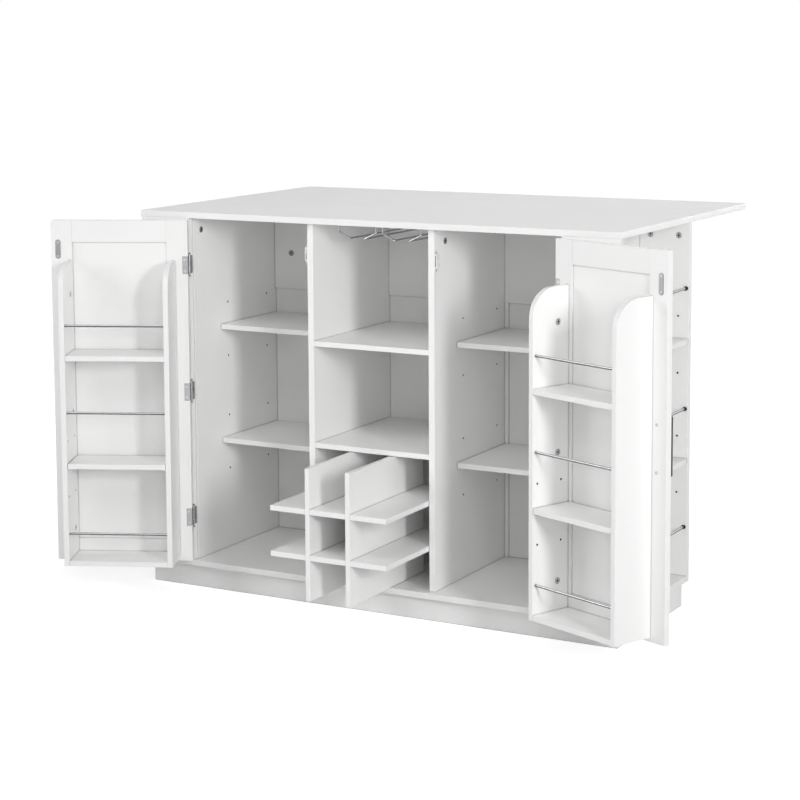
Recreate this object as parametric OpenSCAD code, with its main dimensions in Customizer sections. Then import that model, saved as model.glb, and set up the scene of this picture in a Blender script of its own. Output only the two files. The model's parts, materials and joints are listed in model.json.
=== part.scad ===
// Kitchen island with a drop leaf, two rack doors, open end racks and a slide-out bottle rack.
// Millimetres. Origin on the floor under the middle of the cabinet, +X to the right seen from
// the front, +Y to the back, +Z up. The doors and the bottle rack are drawn open.

/* [Overall] */
// Height of the worktop above the floor
height = 920; // [880:5:960]
// Width over the two end racks
body_w = 1247; // [1200:1:1300]
// Depth from the front panels to the rear panels
body_d = 430; // [410:1:460]

/* [Worktop] */
// Thickness of the worktop and of the leaf
top_t = 15; // [12:0.5:22]
// Overhang of the worktop at each end
end_overhang = 3.5; // [0:0.5:20]
// Depth of the drop leaf
leaf_d = 357; // [300:1:400]
// Gap between the worktop and the leaf
leaf_gap = 2; // [1:0.5:4]

/* [Boards] */
// Thickness of the partitions, dividers and panels
board_t = 15; // [12:0.5:18]
// Thickness of the shelves
shelf_t = 12; // [10:0.5:16]
// Thickness of the bottom panel
bottom_t = 14; // [12:0.5:18]
// Thickness of the back panel
back_t = 5; // [3:0.5:8]
// Height of the upper back rail
rail_h = 210; // [150:5:240]
// Depth of the hollow behind the upper back rail
back_recess = 36; // [34:1:60]
// How far the back panel lies behind the face of the upper back rail
back_step = 5; // [2:0.5:8]
// Clear width of the centre bay
centre_bay_w = 303; // [290:1:320]

/* [Plinth] */
// Height of the plinth
plinth_h = 55; // [40:1:80]
// Inset of the plinth at each end
plinth_end_inset = 7; // [2:1:60]
// Inset of the plinth at the front
plinth_front_inset = 16.5; // [5:0.5:60]
// Inset of the plinth at the back
plinth_rear_inset = 26; // [5:1:60]

/* [Shelves] */
// Height of the lower side shelves' top faces above the bottom panel
lower_rise = 281; // [240:1:320]
// Depth of the upper side shelves' top faces below the worktop
upper_drop = 272; // [240:1:300]
// Height of the lower centre shelf's top face above the bottom panel
centre_rise = 319; // [300:1:350]
// Depth of the upper centre shelf's top face below the worktop
centre_drop = 276; // [240:1:300]
// Set-back of the side bay shelves behind the dividers' front edges
shelf_setback = 110; // [110:1:140]
// Gap at each end of an adjustable shelf
shelf_gap = 1; // [0.5:0.25:2]
// Inset of the end rack shelves from the open side
rack_shelf_inset = 2; // [0:0.5:10]
// Pitch of the shelf pin holes
hole_pitch = 67; // [50:1:75]
// Radius of the shelf pins
pin_r = 2.5; // [2:0.25:3]
// Depth of the shelf pin holes
hole_depth = 9; // [6:0.5:10]
// Length of pin under a shelf
pin_reach = 8; // [6:0.5:12]
// Front pin's distance from the shelf's front edge
pin_front = 33; // [25:1:50]
// Rear pin's distance from the shelf's rear edge
pin_rear = 41; // [25:1:60]
// End rack pins' distance from the ends of the rack's depth
pin_rack = 27; // [20:1:40]

/* [End racks] */
// Depth of each end rack from its open side
end_rack_w = 124.5; // [110:0.5:130]
// Height of each steel rail above the shelf below it
end_rail_h = 118; // [60:1:160]
// Distance of the rail's centre from the open side
end_rail_inset = 8; // [6.5:0.5:20]
// Radius of the end rails
end_rail_r = 3.2; // [2:0.1:4]
// Radius of the rails' end cups
cup_r = 5; // [4.5:0.25:6]
// Length of the rails' end cups
cup_l = 3; // [2:0.5:5]

/* [Doors] */
// Angle of the left door in the drawn pose
left_open_angle = 155.5; // [90:0.5:160]
// Angle of the right door in the drawn pose
right_open_angle = 158; // [90:0.5:160]
// Gap between a closed door and the dividers
door_gap = 1.5; // [1.5:0.25:3]
// Gap between a door and the front panel, where the hinges sit
hinge_gap = 3.7; // [3.4:0.1:5]
// Gap over and under each door
door_end_gap = 3; // [2:0.5:6]
// How far a closed door stays back from the centre bay
door_reveal = 1.3; // [1:0.1:6]
// Thickness of the doors
door_t = 15; // [14:0.5:18]
// Width of the door stiles
stile_w = 51; // [45:1:60]
// Height of the door rails
door_rail_h = 53; // [45:1:70]
// Thickness of the recessed door panel
door_panel_t = 8; // [5:0.5:9]
// Depth of the groove that holds the door panel
groove = 6; // [4:0.5:10]

/* [Door racks] */
// Rack's distance from the hinge edge of the door
rack_start = 30; // [28:1:40]
// Rack's distance from the free edge of the door
rack_free_gap = 40; // [39.5:0.5:60]
// Depth of the door rack
rack_d = 106; // [80:1:106]
// Thickness of the rack's sides
rack_side_t = 12; // [10:0.5:14]
// Distance of the rack's foot above the door's lower edge
rack_foot = 10; // [8:1:20]
// Distance of the rack's top below the door's upper edge
rack_drop = 97; // [96:1:120]
// Radius of the rounded corner of the rack's sides
rack_round_r = 65; // [40:1:75]
// Height of the lower door shelf's top face above the rack's foot
door_lower_rise = 248; // [230:1:270]
// Depth of the upper door shelf's top face below the rack's top
door_upper_drop = 215.5; // [190:0.5:240]
// Height of the lowest rail above the rack's bottom board
low_rail_h = 66; // [30:0.5:120]
// Height of the middle rail above the lower door shelf
mid_rail_h = 122; // [30:0.5:140]
// Height of the top rail above the upper door shelf
top_rail_h = 71.5; // [30:0.5:110]
// Distance of the rails from the rack's front edge
door_rail_inset = 9; // [6:0.5:14]
// Radius of the door rails
door_rail_r = 3; // [2:0.1:4]
// Distance of the rear pins from the door
door_pin_rear = 22; // [15:1:30]
// Distance of the front pins from the door
door_pin_front = 92; // [75:1:92]

/* [Door hardware] */
// Distance of the outer hinges from the ends of the door
hinge_inset = 108; // [80:1:140]
// Height of a hinge
hinge_h = 43; // [36:1:60]
// Radius of the hinge knuckles
knuckle_r = 2.8; // [2.6:0.1:3]
// Radius of the hinge pins
hinge_pin_r = 1.5; // [1.2:0.1:1.7]
// Radial clearance of the hinge pins
pin_fit = 0.05; // [0.02:0.01:0.08]
// Thickness of the hinge leaves
leaf_plate_t = 1.2; // [1:0.1:1.5]
// Width of the hinge leaf on the door's inner face
wrap_w = 13; // [10:0.5:20]
// Distance of the hinge axis in front of the doors
axis_proud = 1.5; // [1:0.1:2]
// Spacing of the handle's screws
handle_pitch = 101.6; // [76:0.1:128]
// Length of the handle
handle_l = 126; // [100:1:160]
// Radius of the handle's bar
handle_r = 5; // [4:0.25:6]
// Distance of the bar's centre from the door
handle_reach = 26.5; // [22:0.5:35]
// Distance of the handle from the door's free edge
handle_inset = 27; // [20:0.5:40]
// Distance of the catch's middle below the door's upper edge
catch_drop = 70; // [64:1:72]
// Height of the catch's flange and of the strike plate
catch_h = 46; // [40:1:46]
// Depth of the catch along the divider
catch_d = 14; // [10:0.5:20]
// How far the catch stands out from the divider
catch_w = 7; // [5:0.5:7.5]
// Width of the strike plate
strike_w = 12; // [8:0.5:14]
// Thickness of the strike plate
strike_t = 1.2; // [0.8:0.1:1.2]

/* [Fittings] */
// Radius of the cam locks
cam_r = 7.5; // [6:0.5:9]
// Depth of the cam locks
cam_depth = 10; // [8:0.5:11]
// How far a cam lock stands out of its board
cam_proud = 0.4; // [0.2:0.1:0.8]
// Distance of the upper cam locks below the worktop
cam_drop = 31; // [25:1:45]
// Distance of the partition cams behind the dividers' front plane
partition_cam_y = 31; // [25:1:60]
// Distance of the divider cams behind the dividers' front plane
divider_cam_y = 54; // [25:1:80]
// Distance of the back rail's cams from the partitions
rail_cam_inset = 50; // [30:1:80]
// Distance of the back rail's cams below the worktop
rail_cam_drop = 119; // [60:1:130]
// Distance of the door rack cams from the door
door_cam_y = 32; // [25:1:40]
// Distance of the outer door rack cams from the rack's ends
door_cam_inset = 77; // [40:1:100]

/* [Glass hangers] */
// Distance of the hangers behind the dividers' front plane
hanger_setback = 46; // [20:1:80]
// Distance of the hangers from the upper back rail
hanger_rear_gap = 26.5; // [10:0.5:100]
// Width of one hanger over its legs
hanger_w = 100; // [90:1:110]
// Distance between the middles of the two hangers
hanger_pitch = 118; // [114:1:130]
// Gap between the two rails of one hanger
stem_gap = 39; // [30:1:50]
// Length of the hanger's straight legs
leg_drop = 20.5; // [15:0.5:30]
// Drop of the rails below the straight legs
rail_drop = 15; // [10:0.5:25]
// Radius of the wire
wire_r = 2; // [1.5:0.1:2.5]

/* [Bottle rack] */
// How far the bottle rack is pulled out in the drawn pose
pull = 202; // [0:1:220]
// Gap behind the bottle rack when it is pushed in
bottle_rear_gap = 17.5; // [5:0.5:60]
// Gap between the bottle rack and the shelf above it
bottle_top_gap = 1.5; // [1:0.25:6]
// Thickness of the uprights
upright_t = 11.5; // [9:0.5:14]
// Gap at each side of the bottle rack
bottle_gap = 1; // [0.5:0.25:2]
// Clearance in the half lap joints
lap_gap = 0.2; // [0.1:0.05:0.4]

/* [Leaf support] */
// Distance of the brackets from the partitions
bracket_inset = 184; // [90:1:300]
// Distance from the leaf's hinge axis to the brace's nose
brace_out = 145; // [100:1:150]
// Height of the brace's nose above its pivot
brace_rise = 120; // [100:1:130]
// Distance of the brace's pivot from the back of the rear panels
pivot_inset = 24; // [23:0.5:25]
// Width of the brace
brace_w = 14; // [12:0.5:15]
// Thickness of the brace
brace_t = 4; // [3:0.5:6]
// Thickness of the arm under the leaf
arm_t = 2.5; // [2:0.25:4]
// Depth of the arm's web below the leaf
arm_down = 20; // [14:0.5:22]
// Distance of the outer leaf hinges from the partitions
leaf_hinge_inset = 54; // [40:1:70]
// Length of a leaf hinge
leaf_hinge_l = 70; // [50:1:80]
// Width of each plate of a leaf hinge
leaf_hinge_w = 24; // [18:1:26]
// Radius of the leaf hinge knuckles
leaf_knuckle_r = 3; // [2.6:0.1:3.2]

/* [Hidden] */
$fn = 48;

cut = 0.5;                                   // how far a cutter runs past a face
board_colour = [0.93, 0.93, 0.93];
steel_colour = [0.62, 0.63, 0.65];
handle_colour = [0.05, 0.05, 0.05];

// Main planes
half_w = body_w / 2;
front_y = -body_d / 2;
rear_y = body_d / 2;
divider_y = front_y + door_t + door_gap;     // front edges of the dividers
panel_back_y = front_y + door_t;             // back of the front panels
rail_y = rear_y - back_recess - board_t;     // face of the upper back rail
back_y = rail_y + back_step;                 // face of the back panel
under_z = height - top_t;                    // underside of the worktop
rail_z = under_z - rail_h;                   // lower edge of the upper back rail
floor_z = plinth_h + bottom_t;               // top face of the bottom panel
bay_in = centre_bay_w / 2;                   // dividers' inner faces
bay_out = bay_in + board_t;                  // dividers' outer faces
rack_in = half_w - end_rack_w;               // partitions' outer faces
bay_end = rack_in - board_t;                 // partitions' inner faces
lower_z = floor_z + lower_rise;              // top faces of the side shelves
upper_z = under_z - upper_drop;
shelf_heights = [lower_z, upper_z];
centre_lower_z = floor_z + centre_rise;      // top faces of the centre shelves
centre_upper_z = under_z - centre_drop;
shelf_front_y = divider_y + shelf_setback;

// Door and its hinge axis, closed, on the right
door_z0 = floor_z + door_end_gap;
door_z1 = under_z - door_end_gap;
door_mid_z = (door_z0 + door_z1) / 2;
edge_back = 0.3;                             // door edge this far inside the partition
door_edge = bay_end - edge_back;             // the door's hinge edge
panel_edge = door_edge + hinge_gap;          // inner edge of the front panel
axis_x = door_edge + hinge_gap / 2;
axis_y = front_y - axis_proud;
free_edge = bay_in + door_reveal;
door_w = door_edge - free_edge;
inner_y = front_y + door_t;                  // the door's inner face
hinge_heights = [door_z0 + hinge_inset, door_mid_z, door_z1 - hinge_inset];
catch_z = door_z1 - catch_drop;
strike_x = bay_out + catch_w / 2;
knuckle_gap = 0.4;                           // between two knuckles, and round each one
knuckle_n = 5;
knuckle_l = (hinge_h - (knuckle_n - 1) * knuckle_gap) / knuckle_n;
knuckle_step = knuckle_l + knuckle_gap;
mortise_w = door_t - 1;                      // depth of the leaf in the board's edge
pin_tip_l = 5;
pin_tip_r = knuckle_r - 0.6;

// Door rack, closed, on the right
glue_line = 0.05;                            // between the door and its rack
rack_y0 = inner_y + glue_line;
rack_y1 = inner_y + rack_d;                  // front edges of the rack's sides
rack_x1 = door_edge - rack_start;            // side near the hinge
rack_x0 = free_edge + rack_free_gap;
rack_z0 = door_z0 + rack_foot;
rack_z1 = door_z1 - rack_drop;
rack_in_x0 = rack_x0 + rack_side_t;
rack_in_x1 = rack_x1 - rack_side_t;
rack_floor_z = rack_z0 + shelf_t;
door_lower_z = rack_z0 + door_lower_rise;
rack_levels = [rack_floor_z, door_lower_z, rack_z1 - door_upper_drop];
door_rail_heights = [low_rail_h, mid_rail_h, top_rail_h];
door_rail_y = rack_y1 - door_rail_inset;
rail_seat = 7;                               // depth of the holes for the rails
door_cam_heights = [rack_z0 + door_cam_inset, (rack_z0 + rack_z1) / 2,
  rack_z1 - door_cam_inset];
door_pin_z = door_lower_z - shelf_t - pin_r;
shelf_inset_y = 1;                           // door shelves stay this far back

// Bottle rack, pushed in
bottle_half = bay_in - bottle_gap;
slide_gap = 0.3;                             // under the bottle rack
bottle_z = floor_z + slide_gap;
bottle_h = centre_lower_z - shelf_t - bottle_top_gap - bottle_z;
bottle_d = back_y - bottle_rear_gap - divider_y;
cell_w = (2 * bottle_half - 2 * upright_t) / 3;
cell_h = (bottle_h - 2 * shelf_t) / 3;
upright_x = cell_w / 2;
lap_y = divider_y + bottle_d / 2;

// Leaf hinge axis and brace
knuckle_drop = 0.2;                          // between the knuckles and the worktop
leaf_axis_y = rear_y + leaf_gap / 2;
leaf_axis_z = under_z - leaf_knuckle_r - knuckle_drop;
nose_gap = 0.3;                              // between the brace's nose and the arm
nose_y = leaf_axis_y + brace_out;
nose_z = under_z - arm_t - nose_gap - brace_w / 2;
pivot_y = rear_y - pivot_inset;
pivot_z = nose_z - brace_rise;
brace_lean = atan2(nose_y - pivot_y, brace_rise);
brace_l = brace_rise / cos(brace_lean);
brace_gap = 0.4;                             // at each side of the brace
rivet_r = 3;
rivet_head_r = 5;
rivet_head_t = 1.5;
leaf_knuckle_l = (leaf_hinge_l - (knuckle_n - 1) * knuckle_gap) / knuckle_n;

// ---------- helpers ----------
module box(x0, x1, y0, y1, z0, z1) {
  translate([x0, y0, z0]) cube([x1 - x0, y1 - y0, z1 - z0]);
}

// Draws its children as they are (side 1) or mirrored to the left (side -1)
module on_side(side) {
  if (side > 0) children();
  else mirror([1, 0, 0]) children();
}

module both_sides() {
  for (side = [-1, 1]) on_side(side) children();
}

// Cylinder along X that starts at x0
module x_rod(x0, y, z, l, r) {
  translate([x0, y, z]) rotate([0, 90, 0]) cylinder(r = r, h = l);
}

// Cylinder along Y that starts at y0
module y_rod(x, y0, z, l, r) {
  translate([x, y0, z]) rotate([-90, 0, 0]) cylinder(r = r, h = l);
}

// Turns the children, drawn closed on the right, to the drawn pose of a door
module door_pose(side) {
  angle = side > 0 ? right_open_angle : left_open_angle;
  on_side(side)
    translate([axis_x, axis_y, 0]) rotate([0, 0, angle]) translate([-axis_x, -axis_y, 0])
      children();
}

// ---------- rows of holes and fittings ----------
pin_levels = [for (z = shelf_heights) z - shelf_t - pin_r];
bay_pin_ys = [shelf_front_y + pin_front, rail_y - pin_rear];
rack_pin_xs = [rack_in + pin_rack, half_w - pin_rack];
partition_cam_ys = [divider_y + partition_cam_y, rail_y - partition_cam_y];
divider_cam_ys = [divider_y + divider_cam_y, rail_y - divider_cam_y];
rail_cam_x = bay_end - rail_cam_inset;
rail_cam_z = under_z - rail_cam_drop;

// Holes in a side bay's wall, into +X from the face at x
module bay_holes(x) {
  for (y = bay_pin_ys, z = pin_levels, k = [-1, 0, 1])
    x_rod(x - cut, y, z + k * hole_pitch, hole_depth + cut, pin_r, $fn = 24);
}

// Holes in an end rack's wall, into +Y from the face at y
module rack_holes(y) {
  for (x = rack_pin_xs, z = pin_levels, k = [-1, 0, 1])
    y_rod(x, y - cut, z + k * hole_pitch, hole_depth + cut, pin_r, $fn = 24);
}

module cam_x(x, y, z) {
  x_rod(x - cam_proud, y, z, cam_depth + cam_proud, cam_r);
}

// Seats of the door rack's cams, closed, on the right
module rack_cam_seats(extra) {
  for (z = door_cam_heights) {
    x_rod(rack_in_x1 - extra, inner_y + door_cam_y, z, cam_depth + extra, cam_r);
    x_rod(rack_in_x0 - cam_depth, inner_y + door_cam_y, z, cam_depth + extra, cam_r);
  }
}

// ---------- worktop and base ----------
module top_panel() {
  color(board_colour)
    box(-half_w - end_overhang, half_w + end_overhang, front_y, rear_y, under_z, height);
}

module bottom_panel() {
  color(board_colour)
    box(-half_w, half_w, front_y, rear_y - board_t, plinth_h, floor_z);
}

plinth_half = half_w - plinth_end_inset;
plinth_y0 = front_y + plinth_front_inset;
plinth_y1 = rear_y - plinth_rear_inset;

module plinth_long_boards() {
  color(board_colour) {
    box(-plinth_half, plinth_half, plinth_y0, plinth_y0 + board_t, 0, plinth_h);
    box(-plinth_half, plinth_half, plinth_y1 - board_t, plinth_y1, 0, plinth_h);
  }
}

// Both end boards and one in the middle
module plinth_cross_boards() {
  color(board_colour) for (x = [-1, 0, 1] * (plinth_half - board_t / 2))
    box(x - board_t / 2, x + board_t / 2, plinth_y0 + board_t, plinth_y1 - board_t,
      0, plinth_h);
}

// ---------- uprights of the cabinet ----------
module partition(side) {
  color(board_colour) on_side(side) difference() {
    box(bay_end, rack_in, panel_back_y, rear_y - board_t, floor_z, under_z);
    bay_holes(bay_end);
    for (y = partition_cam_ys)
      x_rod(bay_end - cut, y, under_z - cam_drop, cam_depth + cut, cam_r);
  }
}

module divider(side) {
  color(board_colour) on_side(side) difference() {
    box(bay_in, bay_out, divider_y, back_y, floor_z, under_z);
    box(bay_in - cut, bay_out + cut, rail_y, back_y + cut, rail_z, under_z + cut);
    mirror([1, 0, 0]) bay_holes(-bay_out);
    for (y = divider_cam_ys)
      x_rod(bay_out - cam_depth, y, under_z - cam_drop, cam_depth + cut, cam_r);
  }
}

module front_panel(side) {
  color(board_colour) on_side(side) difference() {
    box(panel_edge, half_w, front_y, panel_back_y, floor_z, under_z);
    mirror([0, 1, 0]) rack_holes(-panel_back_y);
    for (z = hinge_heights) {
      box(panel_edge - cut, panel_edge + leaf_plate_t, front_y - cut, front_y + mortise_w,
        z - hinge_h / 2, z + hinge_h / 2);
      translate([axis_x, axis_y, z - hinge_h / 2 - pin_tip_l - cut])
        cylinder(r = knuckle_r + knuckle_gap, h = hinge_h + 2 * (pin_tip_l + cut));
    }
  }
}

module rear_panel(side) {
  color(board_colour) on_side(side) difference() {
    box(bay_end, half_w, rear_y - board_t, rear_y, plinth_h, under_z);
    rack_holes(rear_y - board_t);
    for (x = rack_pin_xs)
      y_rod(x, rear_y - board_t - cut, under_z - cam_drop, cam_depth + cut, cam_r);
  }
}

module upper_back_rail() {
  color(board_colour) difference() {
    box(-bay_end, bay_end, rail_y, rail_y + board_t, rail_z, under_z);
    both_sides() y_rod(rail_cam_x, rail_y - cut, rail_cam_z, cam_depth + cut, cam_r);
  }
}

module back_panel() {
  color(board_colour)
    box(-bay_end, bay_end, back_y, back_y + back_t, floor_z, rail_z);
}

module back_batten() {
  batten_w = 10;
  color(board_colour) box(bay_out, bay_out + batten_w, rail_y, back_y, floor_z, rail_z);
}

// ---------- shelves ----------
module side_bay_shelves(side) {
  color(board_colour) on_side(side)
    for (z = shelf_heights)
      box(bay_out + shelf_gap, bay_end - shelf_gap, shelf_front_y, rail_y, z - shelf_t, z);
}

module centre_bay_shelves() {
  color(board_colour)
    for (z = [centre_lower_z, centre_upper_z])
      box(-bay_in, bay_in, divider_y, rail_y, z - shelf_t, z);
}

module rack_shelves(side) {
  color(board_colour) on_side(side)
    for (z = shelf_heights)
      box(rack_in, half_w - rack_shelf_inset, panel_back_y + shelf_gap,
        rear_y - board_t - shelf_gap, z - shelf_t, z);
}

module shelf_pins() {
  color(steel_colour) {
    both_sides() for (y = bay_pin_ys, z = pin_levels) {
      x_rod(bay_end - pin_reach, y, z, pin_reach + hole_depth, pin_r, $fn = 24);
      x_rod(bay_out - hole_depth, y, z, pin_reach + hole_depth, pin_r, $fn = 24);
    }
    both_sides() for (x = rack_pin_xs, z = pin_levels) {
      y_rod(x, panel_back_y - hole_depth, z, pin_reach + hole_depth, pin_r, $fn = 24);
      y_rod(x, rear_y - board_t - pin_reach, z, pin_reach + hole_depth, pin_r, $fn = 24);
    }
  }
}

// ---------- end rack rails ----------
module rack_rails(side) {
  l = rear_y - board_t - panel_back_y;
  color(steel_colour) on_side(side)
    for (z = concat([floor_z], shelf_heights)) {
      rail_x = half_w - end_rail_inset;
      y_rod(rail_x, panel_back_y, z + end_rail_h, l, end_rail_r);
      y_rod(rail_x, panel_back_y, z + end_rail_h, cup_l, cup_r);
      y_rod(rail_x, rear_y - board_t - cup_l, z + end_rail_h, cup_l, cup_r);
    }
}

// ---------- cam locks ----------
// A cam lock along +X with a cross slot in its face at x
module cam_lock_x(x, y, z) {
  slot_w = 2;
  slot_l = 8;
  slot_d = 3;
  difference() {
    cam_x(x, y, z);
    box(x - cam_proud - cut, x + slot_d, y - slot_l / 2, y + slot_l / 2,
      z - slot_w / 2, z + slot_w / 2);
    box(x - cam_proud - cut, x + slot_d, y - slot_w / 2, y + slot_w / 2,
      z - slot_l / 2, z + slot_l / 2);
  }
}

module cam_locks() {
  color(steel_colour) both_sides() {
    for (y = partition_cam_ys) cam_lock_x(bay_end, y, under_z - cam_drop);
    for (y = divider_cam_ys) mirror([1, 0, 0]) cam_lock_x(-bay_out, y, under_z - cam_drop);
    translate([rail_cam_x, rail_y, rail_cam_z]) rotate([0, 0, 90]) cam_lock_x(0, 0, 0);
  }
}

module rack_cam_locks() {
  color(steel_colour) both_sides() for (x = rack_pin_xs)
    translate([x, rear_y - board_t, under_z - cam_drop]) rotate([0, 0, 90])
      cam_lock_x(0, 0, 0);
}

// ---------- catches ----------
module door_catches() {
  flange_t = 1.6;
  ear_h = 7;                                 // flange above and below the body
  body_h = catch_h - 2 * ear_h;
  slot_w = 2;
  slot_d = 3;
  screw_hole_r = 1.6;
  color("white") both_sides() difference() {
    union() {
      box(bay_out, bay_out + flange_t, divider_y, divider_y + catch_d,
        catch_z - catch_h / 2, catch_z + catch_h / 2);
      box(bay_out, bay_out + catch_w, divider_y, divider_y + catch_d,
        catch_z - body_h / 2, catch_z + body_h / 2);
    }
    box(bay_out + catch_w / 2 - slot_w / 2, bay_out + catch_w / 2 + slot_w / 2,
      divider_y - cut, divider_y + slot_d,
      catch_z - body_h / 2 + slot_d, catch_z + body_h / 2 - slot_d);
    for (k = [-1, 1])
      x_rod(bay_out - cut, divider_y + catch_d / 2, catch_z + k * (catch_h - ear_h) / 2,
        flange_t + 2 * cut, screw_hole_r, $fn = 24);
  }
}

// ---------- door hinges ----------
// The knuckles first, first + 2, ... of the hinge at height z
module knuckles(first, z) {
  for (k = [first : 2 : knuckle_n - 1])
    translate([axis_x, axis_y, z - hinge_h / 2 + k * knuckle_step])
      cylinder(r = knuckle_r, h = knuckle_l);
}

// Room for the knuckles of the other leaf
module knuckle_room(first, z) {
  for (k = [first : 2 : knuckle_n - 1])
    translate([axis_x, axis_y, z - hinge_h / 2 + k * knuckle_step - knuckle_gap])
      cylinder(r = knuckle_r + knuckle_gap, h = knuckle_l + 2 * knuckle_gap);
}

module hinge_bore(z, r) {
  translate([axis_x, axis_y, z - hinge_h / 2 - cut]) cylinder(r = r, h = hinge_h + 2 * cut);
}

module frame_hinge_leaves() {
  color(steel_colour) both_sides() for (z = hinge_heights) difference() {
    union() {
      difference() {
        box(panel_edge, panel_edge + leaf_plate_t, axis_y, front_y + mortise_w,
          z - hinge_h / 2, z + hinge_h / 2);
        knuckle_room(1, z);
      }
      knuckles(0, z);
    }
    hinge_bore(z, hinge_pin_r);
  }
}

// The door's leaf: along the hinge edge and round onto the inner face
module door_leaf_plate(z) {
  box(door_edge - leaf_plate_t, door_edge, axis_y, inner_y, z - hinge_h / 2, z + hinge_h / 2);
  box(door_edge - wrap_w, door_edge, inner_y - leaf_plate_t, inner_y,
    z - hinge_h / 2, z + hinge_h / 2);
}

module door_hinge_leaves(side) {
  color(steel_colour) door_pose(side) for (z = hinge_heights) difference() {
    union() {
      difference() {
        door_leaf_plate(z);
        knuckle_room(0, z);
      }
      knuckles(1, z);
    }
    hinge_bore(z, hinge_pin_r + pin_fit);
  }
}

module door_hinge_pins() {
  color(steel_colour) both_sides() for (z = hinge_heights) translate([axis_x, axis_y, z]) {
    translate([0, 0, -hinge_h / 2 - cut]) cylinder(r = hinge_pin_r, h = hinge_h + 2 * cut);
    for (k = [-1, 1])
      translate([0, 0, k * (hinge_h / 2 + pin_tip_l / 2) - pin_tip_l / 2])
        cylinder(r = pin_tip_r, h = pin_tip_l);
  }
}

// ---------- doors, drawn closed on the right and turned by door_pose ----------
module door_stiles(side) {
  color(board_colour) door_pose(side) difference() {
    union() {
      box(free_edge, free_edge + stile_w, front_y, inner_y, door_z0, door_z1);
      box(door_edge - stile_w, door_edge, front_y, inner_y, door_z0, door_z1);
    }
    door_groove();
    for (z = hinge_heights) {
      door_leaf_plate(z);
      translate([axis_x, axis_y, z - hinge_h / 2 - pin_tip_l - cut])
        cylinder(r = knuckle_r + knuckle_gap, h = hinge_h + 2 * (pin_tip_l + cut));
    }
    for (k = [-1, 1])
      y_rod(handle_x, front_y - cut, door_mid_z + k * handle_pitch / 2, door_t + 2 * cut,
        screw_r, $fn = 24);
  }
}

module door_groove() {
  mid_y = front_y + door_t / 2;
  box(free_edge + stile_w - groove, door_edge - stile_w + groove,
    mid_y - door_panel_t / 2, mid_y + door_panel_t / 2,
    door_z0 + door_rail_h - groove, door_z1 - door_rail_h + groove);
}

module door_rails(side) {
  color(board_colour) door_pose(side) difference() {
    for (z = [door_z0, door_z1 - door_rail_h])
      box(free_edge + stile_w, door_edge - stile_w, front_y, inner_y, z, z + door_rail_h);
    door_groove();
  }
}

module door_panel(side) {
  color(board_colour) door_pose(side) door_groove();
}

// Outline of a rack side: u away from the door, v up
module rack_side_outline() {
  d = rack_y1 - rack_y0;
  h = rack_z1 - rack_z0;
  square([d - rack_round_r, h]);
  square([d, h - rack_round_r]);
  intersection() {
    translate([d - rack_round_r, h - rack_round_r]) circle(r = rack_round_r, $fn = 96);
    square([d, h]);
  }
}

module door_rack_sides(side) {
  color(board_colour) door_pose(side) difference() {
    for (x = [rack_x0, rack_in_x1])
      translate([x, rack_y0, rack_z0]) rotate([90, 0, 90])
        linear_extrude(rack_side_t) rack_side_outline();
    rack_cam_seats(cut);
    for (i = [0 : 2])
      x_rod(rack_in_x0 - rail_seat, door_rail_y, rack_levels[i] + door_rail_heights[i],
        rack_in_x1 - rack_in_x0 + 2 * rail_seat, door_rail_r, $fn = 24);
    for (y = [inner_y + door_pin_rear, inner_y + door_pin_front], k = [-1, 0, 1])
      x_rod(rack_in_x0 - hole_depth, y, door_pin_z + k * hole_pitch,
        rack_in_x1 - rack_in_x0 + 2 * hole_depth, pin_r, $fn = 24);
  }
}

module door_rack_shelves(side) {
  color(board_colour) door_pose(side) for (i = [0 : 2]) {
    gap = i == 1 ? shelf_gap : 0;
    box(rack_in_x0 + gap, rack_in_x1 - gap, rack_y0, rack_y1 - shelf_inset_y,
      rack_levels[i] - shelf_t, rack_levels[i]);
  }
}

module door_rack_rails(side) {
  color(steel_colour) door_pose(side) for (i = [0 : 2])
    x_rod(rack_in_x0 - rail_seat, door_rail_y, rack_levels[i] + door_rail_heights[i],
      rack_in_x1 - rack_in_x0 + 2 * rail_seat, door_rail_r, $fn = 24);
}

handle_x = free_edge + handle_inset;
screw_r = 2.2;
screw_head_r = 3.5;
screw_head_t = 1.2;

module door_fittings(side) {
  color(steel_colour) door_pose(side) {
    for (y = [inner_y + door_pin_rear, inner_y + door_pin_front],
        x = [rack_in_x0 - hole_depth, rack_in_x1 - pin_reach])
      x_rod(x, y, door_pin_z, pin_reach + hole_depth, pin_r, $fn = 24);
    for (z = door_cam_heights) {
      cam_lock_x(rack_in_x1, inner_y + door_cam_y, z);
      mirror([1, 0, 0]) cam_lock_x(-rack_in_x0, inner_y + door_cam_y, z);
    }
    for (k = [-1, 1]) {
      y_rod(handle_x, inner_y, door_mid_z + k * handle_pitch / 2, screw_head_t,
        screw_head_r, $fn = 24);
      y_rod(handle_x, front_y, door_mid_z + k * handle_pitch / 2, door_t, screw_r, $fn = 24);
    }
  }
}

module door_handle(side) {
  post_r = 4;
  color(handle_colour) door_pose(side) {
    translate([handle_x, front_y - handle_reach, door_mid_z - handle_l / 2])
      cylinder(r = handle_r, h = handle_l);
    for (k = [-1, 1])
      y_rod(handle_x, front_y - handle_reach, door_mid_z + k * handle_pitch / 2,
        handle_reach, post_r);
  }
}

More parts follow.
